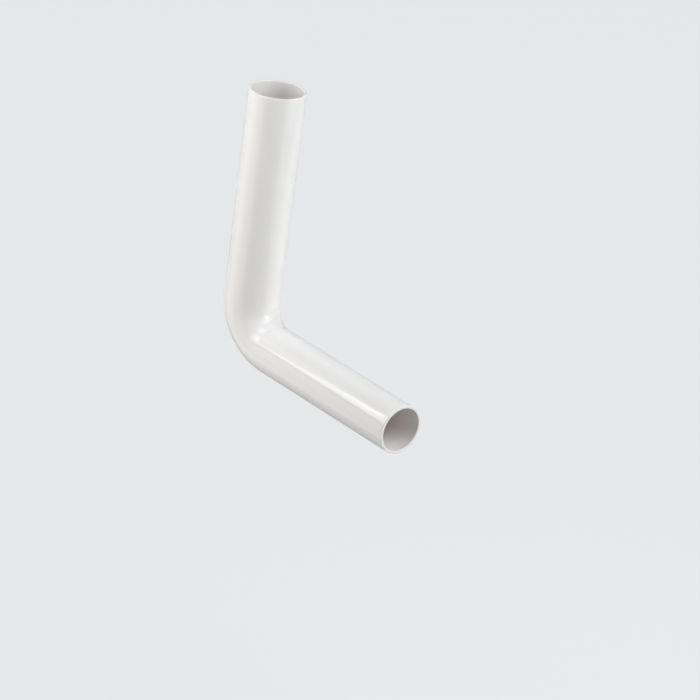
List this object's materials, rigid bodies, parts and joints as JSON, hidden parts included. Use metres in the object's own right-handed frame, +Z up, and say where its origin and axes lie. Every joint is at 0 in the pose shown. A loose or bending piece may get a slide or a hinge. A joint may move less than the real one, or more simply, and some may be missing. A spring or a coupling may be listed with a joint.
{
  "type": "flush pipe",
  "caption": "Bent white plastic tube with plain ends that carries flush water from a low-level cistern down to a toilet pan, narrowing through its tight quarter bend.",
  "frame": {"origin": "centre of the upper end, on the axis of the upper leg", "axes": "+Z up along the upper leg, out of its open end; +X along the lower leg, out of its mouth; the pipe hangs below the origin as it does when it is fitted under a cistern"},
  "size_m": [0.235, 0.05, 0.252],
  "materials": {
    "white_plastic": "smooth moulded white plastic with a soft gloss"
  },
  "bodies": {
    "root": {"flush_pipe": "white_plastic"}
  },
  "joints": []
}
